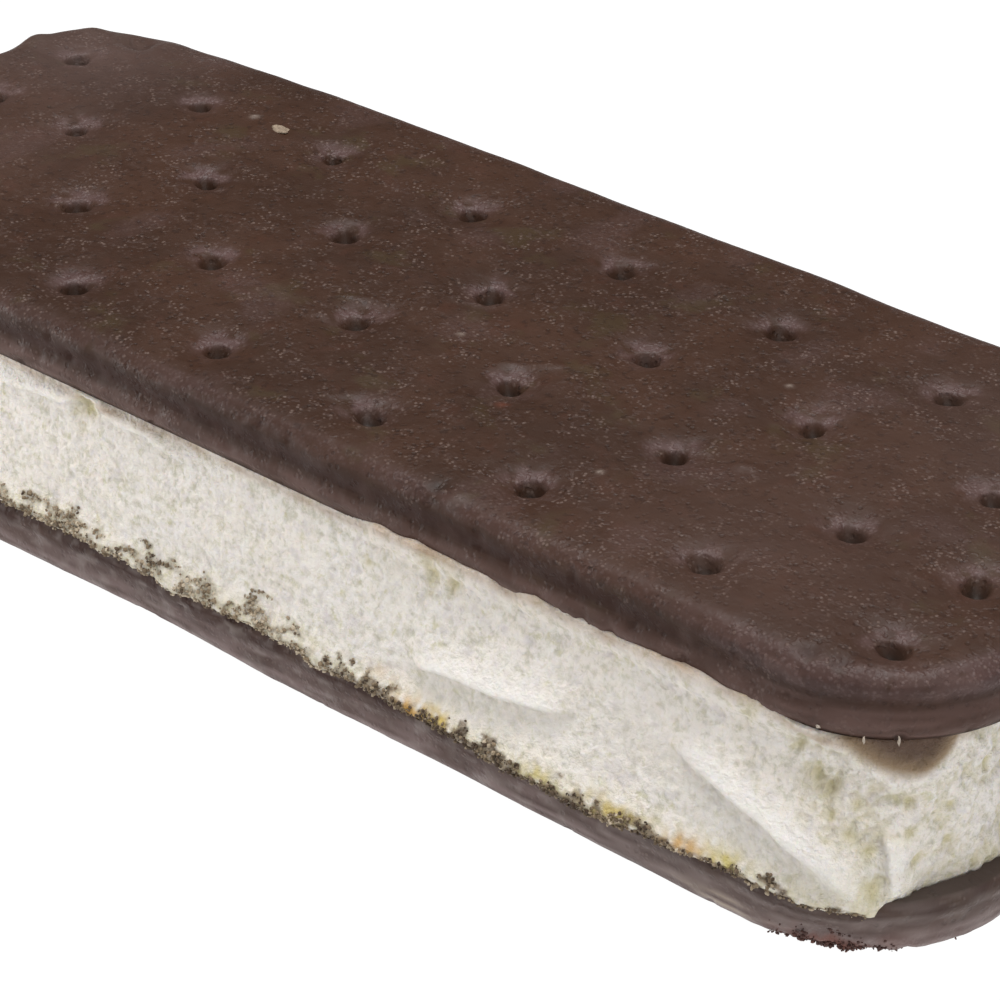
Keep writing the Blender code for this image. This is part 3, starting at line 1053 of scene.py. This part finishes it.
def pit_depth(place, smooth):
    """Depth of the open pits at a place, from 0 to about 1."""
    distances, _ = noise.voronoi(place / PIT_CELL)
    round_pit = 1 - ramp(0.12, 0.5, distances[0])
    open_here = patchy(place, 0.0035, 9.0, -0.1, 0.5)
    towel = patchy(place, 0.0006, 4.0, -0.1, 0.5)
    return (round_pit * open_here * 0.6 + towel * 0.6) * (1 - 0.75 * smooth)


class Front(NamedTuple):
    """What the front has at a place, as shares from 0 to 1. The other sides have none of it."""
    height: float = 0  # how far folds, swells and hollows lift it, in metres
    hollow: float = 0
    smooth: float = 0
    shade: float = 0
    melt: float = 0
    depth: float = 0  # of the melted chocolate, from its edge on
    creep: float = 0


def slab_tint(front, side):
    """Colour laid over the slab at a place: the painted highlight on its folds' lips and the
    painted shade below them, its side, and the melted chocolate.
    """
    return layered(
        NO_TINT,
        # painted highlight on the folds' lips
        (FOLD_HIGHLIGHT_CREAM, 0.95 * ramp(0.2, 0.8, front.smooth)),
        (SHADED_CREAM, 0.40 * front.shade),
        (side[:3], side[3]),
        (mixed(MELT_PALE, MELT_DARK, front.depth), 0.98 * front.melt),
    )


def sculpt_slab(bm, cream):
    """Shapes the slab's side, and keeps its tint and the chance of crumbs in the mesh."""
    outline = slab_outline(cream)
    flat = {vert for face in bm.faces if len(face.verts) > 4 for vert in face.verts}
    top = cream.thickness / MM
    tint_layer = bm.verts.layers.float_color.new("tint")
    crumb_layer = bm.verts.layers.float.new("crumbs")
    for vert in bm.verts:
        vert[tint_layer] = NO_TINT
        if vert in flat:
            continue
        place = vert.co.copy()
        way = outward(place.x, place.y, outline)
        along = girth(place.x, place.y, outline)
        in_front = place.y < 0
        level = place.z / cream.thickness
        foot = 1 - ramp(0, FOOT_REACH, place.z)
        flare = foot_share(along, in_front)
        drop = foot_drop(place, along, in_front) * flare
        spot = Vector((along, place.z / MM))
        soak, thread = lace_share(spot, drop / MM)
        front = Front()
        if in_front:
            front = Front(
                *front_relief(spot), *melt_share(spot, top), creep_share(place, along))
        relief = SLAB_BULGE * math.sin(math.pi * level) + edge_sway(place.x, place.y, SLAB_SEED)
        relief += FOOT_OVERHANG * flare * (foot - 0.35 * fade(place.z, 0.25 * MM))
        relief += front.height
        relief += CREEP_OUT * front.creep * ramp(0.90, 0.97, level)
        relief += SOFT_WAVE[0] * wander(place, SOFT_WAVE[1], 6.0)
        relief -= cream.pit_depth * pit_depth(place, max(front.smooth, front.melt))
        tan = tan_share(spot, top, front.creep)
        vert[tint_layer] = slab_tint(front, side_tint(spot, front.hollow, soak, thread, tan))
        vert[crumb_layer] = soak * (0.15 + 0.85 * thread) * (1 if in_front else 0.6)
        vert.co += way * relief
        vert.co.z += CREEP_UP * front.creep * ramp(0.93, 1, level)
        vert.co.z += SLAB_TUCK * ramp(0.9, 1, level) - foot * max(drop, SLAB_TUCK)
        vert.co += LOWER_WAFER_SHIFT * (1 - level)


def slab_mesh(cream):
    """The slab in its place, closed under its foot."""
    bm, rim = slab_blank(cream)
    sculpt_slab(bm, cream)
    outline = slab_outline(cream)
    verts, rim = next_ring(bm, rim)
    for vert in verts:
        x, y = (vert.co - LOWER_WAFER_SHIFT).xy
        vert.co -= outward(x, y, outline) * 2 * FOOT_OVERHANG
        vert.co.z = -SLAB_TUCK
    bmesh.ops.edgeloop_fill(bm, edges=rim)
    bmesh.ops.recalc_face_normals(bm, faces=bm.faces)
    base = Vector((0, 0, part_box("ice_cream")[0].z))
    bmesh.ops.translate(bm, vec=UPPER_PLACE + base, verts=bm.verts)
    return bm


# Crumbs

def seats_on(name, chance_of):
    """Places on a piece already made where crumbs may stick, with their chances."""
    if name not in bpy.data.objects:
        raise RuntimeError("The crumbs need " + name + ", which has not been made yet")
    mesh = bpy.data.objects[name].data
    seats = []
    for vert in mesh.vertices:
        chance = chance_of(mesh, vert)
        if chance > LEAST_CHANCE:
            seats.append((vert.co.copy(), chance))
    return seats


def stick_crumbs(seats, count, radii, tone_of, draw):
    """Small uneven lumps stuck on at drawn places, each with its tone from dark 0 to pale 1."""
    whole = bmesh.new()
    batch = bpy.data.meshes.new("crumb_batch")
    chances = [chance for _, chance in seats]
    picked = draw.choices(seats, chances, k=count)
    for start in range(0, count, CRUMB_BATCH):
        bm = bmesh.new()
        tone_layer = bm.verts.layers.float.new("tone")
        for place, _ in picked[start:start + CRUMB_BATCH]:
            radius = radii[0] + (radii[1] - radii[0]) * draw.random() ** 2
            verts = bmesh.ops.create_icosphere(bm, subdivisions=1, radius=radius)["verts"]
            tone = tone_of(place, draw)
            stretch = Vector([draw.uniform(*CRUMB_STRETCH) for _ in range(3)])
            middle = place + Vector([draw.gauss(0, CRUMB_JITTER) for _ in range(3)])
            middle.z = max(middle.z, cad_low.z + 1.7 * radius)
            for vert in verts:
                vert.co = middle + vert.co * stretch * draw.uniform(*CRUMB_ROUGH)
                vert[tone_layer] = tone
        bm.to_mesh(batch)
        bm.free()
        whole.from_mesh(batch)
    bpy.data.meshes.remove(batch)
    return whole


def foot_tone(place, draw):
    """Pale crumbs towards the left, dark ones towards the right."""
    middle = 0.56 - 0.34 * ramp(0.004, 0.018, place.x) + 0.5 * wander(place, 0.003, 41.0)
    return min(max(draw.gauss(middle, 0.24), 0), 1)


def foot_chance(mesh, vert):
    """Where chocolate has soaked into the ice cream's foot."""
    return mesh.attributes["crumbs"].data[vert.index].value


def rim_chance(mesh, vert):
    """Where the lower wafer's near right corner has crumbled."""
    x, y, z = vert.co / MM
    if y > -14 or z > 4.0:
        return 0
    chance = fade(x - 54.3, 3.0) * fade(z - 0.5, 1.3) * (1 - ramp(-0.5, 0.5, vert.normal.z))
    return chance * patchy(vert.co, 0.0016, 61.0, -0.35, 0.15)


def rim_tone(place, draw):
    """Redder crumbs towards the floor."""
    return draw.uniform(0.0, 0.4) + 0.6 * draw.random() * fade(place.z, 0.0012)


def chip_mesh(crumbs, draw):
    """The pale chips of biscuit stuck to the upper wafer."""
    bm = bmesh.new()
    tone_layer = bm.verts.layers.float.new("tone")
    for place, size, tone in CHIPS:
        verts = bmesh.ops.create_icosphere(bm, subdivisions=3, radius=crumbs.chip)["verts"]
        seed = draw.uniform(0, 50)
        for vert in verts:
            knobbly = 1 + 0.9 * wander(vert.co, 0.0005, seed)
            vert.co = Vector(place) * MM + vert.co * Vector(size) * knobbly
            vert[tone_layer] = tone + draw.uniform(-0.25, 0.1)
    return bm


# Materials

class Nodes:
    """A new material, and short ways to add nodes to it."""

    def __init__(self, name):
        self.material = bpy.data.materials.new(name)
        self.material.use_nodes = True
        self.tree = self.material.node_tree

    @cached_property
    def place(self):
        """Place on the object, in metres."""
        return self.add("TexCoord", {})["Object"]

    def fill(self, node, inputs):
        """Sets a node's inputs, or links them to other nodes."""
        for name, value in inputs.items():
            socket = node.inputs[name]
            if isinstance(value, bpy.types.NodeSocket):
                self.tree.links.new(value, socket)
            elif socket.type == "RGBA":
                socket.default_value = (*value[:3], 1)
            else:
                socket.default_value = value

    def add(self, kind, inputs, **options):
        """Adds a node with its options and inputs, and gives its outputs."""
        made = self.tree.nodes.new("ShaderNode" + kind)
        for name, value in options.items():
            setattr(made, name, value)
        self.fill(made, inputs)
        return made.outputs

    def finish(self, inputs):
        """Sets the shader's inputs and gives the material."""
        self.fill(self.tree.nodes["Principled BSDF"], inputs)
        return self.material

    def kept(self, name):
        """A measure kept in the mesh."""
        return self.add("Attribute", {}, attribute_name=name)["Fac"]

    def maths(self, operation, first, second):
        """One sum of two values."""
        return self.add("Math", {0: first, 1: second}, operation=operation)[0]

    def times(self, first, second):
        """One value times another."""
        return self.maths("MULTIPLY", first, second)

    def between(self, value, low, high, kind="SMOOTHSTEP"):
        """0 below low and 1 above high."""
        inputs = {"Value": value, "From Min": low, "From Max": high}
        return self.add("MapRange", inputs, interpolation_type=kind)["Result"]

    def spread(self, value, low, high):
        """Draws a share out, from low at 0 to high at 1."""
        return self.add("MapRange", {"Value": value, "To Min": low, "To Max": high})["Result"]

    def clouds(self, wave, detail=3.0, roughness=0.55):
        """Noise about 0.5 whose features are a wave across."""
        inputs = {"Vector": self.place, "Scale": 1 / wave}
        inputs.update({"Detail": detail, "Roughness": roughness})
        return self.add("TexNoise", inputs)["Fac"]

    def patches(self, wave, low, high, detail=3.0, roughness=0.55):
        """Clouds that begin at low and are full at high."""
        return self.between(self.clouds(wave, detail, roughness), low, high)

    def dots(self, wave, reach):
        """Round grains a wave apart, 1 in their middles and 0 beyond their reach."""
        cells = self.add("TexVoronoi", {"Vector": self.place, "Scale": 1 / wave})
        return self.between(cells["Distance"], reach, reach * 0.4)

    def blend(self, share, first, second):
        """Mixes two colours."""
        return self.add("Mix", {0: share, 6: first, 7: second}, data_type="RGBA")[2]

    def layered(self, tone, layers):
        """Lays other tones over a tone, each with the most that it covers and where."""
        for most, where, other in layers:
            tone = self.blend(self.times(where, most), tone, other)
        return tone

    def tinted(self, tone):
        """Lays the colour kept in the mesh over a tone."""
        tint = self.add("Attribute", {}, attribute_name="tint")
        return self.blend(tint["Alpha"], tone, tint["Color"])

    def bumps(self, heights, strength):
        """A normal raised by heights, each with the distance that it rises."""
        inputs = {"Strength": strength}
        for height, distance in heights:
            inputs.update({"Height": height, "Distance": distance})
            inputs["Normal"] = self.add("Bump", inputs)["Normal"]
        return inputs["Normal"]


def crust_material(wafer):
    """Dark crust with clouds of other tones, and pale round grains where it is torn."""
    nodes = Nodes("chocolate_crust")
    torn_and_glint = nodes.kept("torn_and_glint")
    bore = nodes.kept("bore")
    flat = nodes.maths("SUBTRACT", 1.0, bore)
    cover = nodes.maths("MAXIMUM", nodes.patches(0.0038, 0.40, 0.60, 4, 0.6), torn_and_glint)
    lumps = nodes.times(nodes.patches(0.00055, 0.52, 0.66, 1, 0.5), cover)
    sunk = nodes.patches(0.0008, 0.42, 0.30, 2, 0.6)
    # pits, sunk by the bump, with painted shade in them
    pits = nodes.times(nodes.dots(0.00066, 0.36), nodes.patches(0.0017, 0.42, 0.58, 2))
    # pale specks, raised a little, with painted glints on them
    glint_specks = nodes.times(nodes.dots(0.00042, 0.42), nodes.patches(0.0010, 0.44, 0.58, 1))
    glint_specks = nodes.times(glint_specks, nodes.times(cover, flat))
    # pale raised grains where the crust has tears, with painted glints on them
    glint_grains = nodes.times(nodes.dots(0.00034, 0.56), nodes.patches(0.0005, 0.36, 0.60, 2))
    glint_grains = nodes.times(glint_grains, nodes.times(torn_and_glint, flat))
    dark = [share * DARK_CRUST for share in wafer.crust]
    tone = nodes.blend(nodes.patches(0.009, 0.35, 0.68, 4), dark, wafer.crust)
    tone = nodes.layered(tone, (
        (0.22, nodes.patches(0.0026, 0.56, 0.74), REDDISH_CRUST),
        (0.45, nodes.patches(0.0048, 0.42, 0.28), MUDDY_CRUST),
        # painted sheen on the lumps
        (0.45, lumps, wafer.lump_sheen),
        (0.50, sunk, SUNK_CRUST),
        (0.40, pits, PAINTED_PIT_SHADE),
        (0.50, glint_specks, PAINTED_GLINT_SPECK),
        # painted mauve sheen where the crust has tears and on the crown
        (0.65, nodes.times(nodes.patches(0.0012, 0.15, 0.5, 2), torn_and_glint), PAINTED_SHEEN_CRUST),
        (0.55, glint_grains, PAINTED_GLINT_GRAIN),
    ))
    relief = (
        (nodes.clouds(0.0013, 2, 0.6), 0.00012), (lumps, 0.00004), (glint_specks, 0.00004),
        (sunk, -0.00002), (glint_grains, 0.00004), (pits, -0.00006),
    )
    normal = nodes.bumps(relief, nodes.times(flat, 0.8))
    return nodes.finish({
        # painted shade in the bores
        "Base Color": nodes.layered(nodes.tinted(tone), ((0.90, bore, PAINTED_BORE_SHADE),)),
        "Normal": normal,
        "Coat Normal": normal,
        "Roughness": nodes.spread(nodes.patches(0.0016, 0.3, 0.7), 0.46, 0.64),
        "Specular IOR Level": 0.18,
        "Coat Weight": nodes.maths("MAXIMUM", nodes.times(torn_and_glint, 0.16), nodes.times(lumps, 0.13)),
        "Coat Roughness": 0.48,
    })


def cream_material(cream):
    """Ice cream with a ripped grain, painted shade in the grain's low places, and greenish and
    lilac patches.
    """
    nodes = Nodes("vanilla_ice_cream")
    towel = nodes.clouds(0.0007, 4, 0.62)
    cover = nodes.spread(nodes.patches(0.0045, 0.35, 0.65), 0.45, 0.95)
    warm = [tone * share for tone, share in zip(cream.cream, WARM_CREAM)]
    tone = nodes.blend(nodes.patches(0.007, 0.3, 0.7), cream.cream, warm)
    # painted shade in the low places of the grain, where its bump sinks, with the ice cream's
    # greener tint there
    tone = nodes.blend(nodes.times(nodes.between(towel, 0.56, 0.30), cover), tone, cream.hollow)
    tone = nodes.layered(tone, (
        (0.75, nodes.patches(0.0009, 0.46, 0.28, 4, 0.65), GREENISH_CREAM),
        (0.60, nodes.patches(0.0016, 0.52, 0.72, 3, 0.6), LILAC_CREAM),
    ))
    coarse = nodes.bumps(((towel, 0.00058),), 0.9)
    fine = {"Height": nodes.clouds(0.00026, 3, 0.6), "Distance": 0.00010}
    return nodes.finish({
        "Base Color": nodes.tinted(tone),
        "Normal": nodes.add("Bump", {**fine, "Strength": 0.8, "Normal": coarse})["Normal"],
        "Roughness": 0.48,
        "Specular IOR Level": 0.25,
        "Subsurface Weight": 0.25,
        "Subsurface Radius": (1.0, 0.75, 0.45),
        "Subsurface Scale": 0.0005,
    })


def crumb_material(name):
    """Crumbs from dark to pale by their own tone."""
    dark, middle, pale = CRUMB_TONES[name]
    nodes = Nodes(name)
    tone = nodes.kept("tone")
    shade = nodes.blend(nodes.between(tone, 0.0, 0.5, "LINEAR"), dark, middle)
    shade = nodes.blend(nodes.between(tone, 0.5, 1.0, "LINEAR"), shade, pale)
    mottle = nodes.clouds(0.0002, 2)
    return nodes.finish({
        "Base Color": nodes.layered(shade, ((0.4, mottle, dark),)),
        "Normal": nodes.bumps(((mottle, 0.00006),), 0.8),
        "Roughness": 0.6,
        "Specular IOR Level": 0.2,
    })


def floor_material(stage):
    """Plain floor with a light of its own."""
    return Nodes("studio_floor").finish({
        "Base Color": stage.floor,
        "Roughness": 0.8,
        "Emission Color": (1, 1, 1),
        "Emission Strength": stage.glow,
    })


# Stage

def look_from(azimuth, elevation):
    """Direction from the sandwich back to the camera."""
    return Vector((
        math.sin(azimuth) * math.cos(elevation),
        -math.cos(azimuth) * math.cos(elevation),
        math.sin(elevation),
    ))


def add_floor(stage):
    """A plain floor under the sandwich."""
    bm = bmesh.new()
    bmesh.ops.create_grid(bm, x_segments=1, y_segments=1, size=FLOOR_HALF)
    mesh = bpy.data.meshes.new("studio_floor")
    bm.to_mesh(mesh)
    bm.free()
    mesh.transform(Matrix.Translation((0, 0, cad_low.z - FLOOR_GAP)))
    mesh.materials.append(floor_material(stage))
    add_object("studio_floor", mesh)


def add_softbox(name, place, target, size, power):
    """A rectangle of light turned to a target."""
    light = bpy.data.lights.new(name, "AREA")
    light.shape = "RECTANGLE"
    light.size, light.size_y = size
    light.energy = power
    made = add_object(name, light)
    made.location = place
    made.rotation_euler = (target - place).to_track_quat("-Z", "Y").to_euler()


def add_lights(stage):
    """A faint sky, a softbox overhead and one to each side."""
    world = bpy.data.worlds.new("studio")
    world.use_nodes = True
    sky = world.node_tree.nodes["Background"]
    sky.inputs["Color"].default_value = (1, 1, 1, 1)
    sky.inputs["Strength"].default_value = SKY_LIGHT
    bpy.context.scene.world = world
    middle = (cad_low + cad_high) / 2
    above = middle - look_from(stage.azimuth, 0) * OVERHEAD_BACK + Vector((0, 0, OVERHEAD_HEIGHT))
    add_softbox("overhead", above, middle, *OVERHEAD_LIGHT)
    for name, azimuth, elevation, distance, size, power in SIDE_LIGHTS:
        way = look_from(math.radians(azimuth), math.radians(elevation))
        add_softbox(name, middle + way * distance, middle, size, power)


def add_camera(stage):
    """The camera, turned to its point of the upper face."""
    camera = bpy.data.cameras.new("camera")
    camera.lens = stage.lens
    camera.sensor_width = SENSOR_WIDTH
    camera.clip_start, camera.clip_end = CLIP
    made = add_object("camera", camera)
    target = UPPER_PLACE + LOOK_AT + Vector((0, 0, cad_high.z))
    back = look_from(stage.azimuth, stage.elevation)
    made.location = target + back * stage.distance
    made.rotation_euler = back.to_track_quat("Z", "Y").to_euler()
    bpy.context.scene.camera = made


# Operators

class SANDWICH_OT_bake_wafers(bpy.types.Operator):
    """Makes the two chocolate wafers"""
    bl_idname = "sandwich.bake_wafers"
    bl_label = "Bake wafers"

    def execute(self, context):
        wafer = context.scene.sandwich_wafer
        crust = crust_material(wafer)
        make_piece("baked_wafer_top", wafer_mesh(wafer, False), crust, "wafer_top")
        make_piece("baked_wafer_bottom", wafer_mesh(wafer, True), crust, "wafer_bottom")
        return {"FINISHED"}


class SANDWICH_OT_fill_cream(bpy.types.Operator):
    """Makes the slab of vanilla ice cream"""
    bl_idname = "sandwich.fill_cream"
    bl_label = "Fill with ice cream"

    def execute(self, context):
        cream = context.scene.sandwich_cream
        make_piece("vanilla_slab", slab_mesh(cream), cream_material(cream), "ice_cream")
        return {"FINISHED"}


class SANDWICH_OT_scatter_crumbs(bpy.types.Operator):
    """Sticks crumbs to the ice cream's foot and the lower wafer's broken corner"""
    bl_idname = "sandwich.scatter_crumbs"
    bl_label = "Scatter crumbs"

    def execute(self, context):
        crumbs = context.scene.sandwich_crumbs
        draw = random.Random(CRUMB_SEED)
        radii = (crumbs.smallest, crumbs.largest)
        seats = seats_on("vanilla_slab", foot_chance)
        foot = stick_crumbs(seats, crumbs.foot_count, radii, foot_tone, draw)
        make_piece("foot_crumbs", foot, crumb_material("foot_crumb"))
        seats = seats_on("baked_wafer_bottom", rim_chance)
        rim = stick_crumbs(seats, crumbs.rim_count, radii, rim_tone, draw)
        make_piece("rim_crumbs", rim, crumb_material("rim_crumb"))
        make_piece("biscuit_chips", chip_mesh(crumbs, draw), crumb_material("biscuit_chip"))
        return {"FINISHED"}


class SANDWICH_OT_set_stage(bpy.types.Operator):
    """Makes the floor, the lights and the camera"""
    bl_idname = "sandwich.set_stage"
    bl_label = "Set stage"

    def execute(self, context):
        stage = context.scene.sandwich_stage
        add_floor(stage)
        add_lights(stage)
        add_camera(stage)
        context.scene.view_settings.view_transform = "Standard"
        return {"FINISHED"}


class SANDWICH_PT_panel(bpy.types.Panel):
    """Steps and sizes of the sandwich"""
    bl_idname = "SANDWICH_PT_panel"
    bl_label = "Ice Cream Sandwich"
    bl_space_type = "VIEW_3D"
    bl_region_type = "UI"
    bl_category = "Sandwich"

    def draw(self, context):
        for name, _, step in STEPS:
            box = self.layout.box()
            settings = getattr(context.scene, name)
            for size in settings.__annotations__:
                box.prop(settings, size)
            box.operator(step.bl_idname)


# Steps in their order, each with the name and the kind of its settings
STEPS = (
    ("sandwich_wafer", WaferSettings, SANDWICH_OT_bake_wafers),
    ("sandwich_cream", CreamSettings, SANDWICH_OT_fill_cream),
    ("sandwich_crumbs", CrumbSettings, SANDWICH_OT_scatter_crumbs),
    ("sandwich_stage", StageSettings, SANDWICH_OT_set_stage),
)


def register():
    """Adds the settings, the steps and the panel to Blender."""
    for name, settings, step in STEPS:
        bpy.utils.register_class(settings)
        setattr(bpy.types.Scene, name, PointerProperty(type=settings))
        bpy.utils.register_class(step)
    bpy.utils.register_class(SANDWICH_PT_panel)


def unregister():
    """Takes them out again."""
    bpy.utils.unregister_class(SANDWICH_PT_panel)
    for name, settings, step in reversed(STEPS):
        bpy.utils.unregister_class(step)
        delattr(bpy.types.Scene, name)
        bpy.utils.unregister_class(settings)


def main():
    """Makes the sandwich and its stage."""
    register()
    bpy.ops.sandwich.bake_wafers()
    bpy.ops.sandwich.fill_cream()
    bpy.ops.sandwich.scatter_crumbs()
    bpy.ops.sandwich.set_stage()


if __name__ == "__main__":
    main()
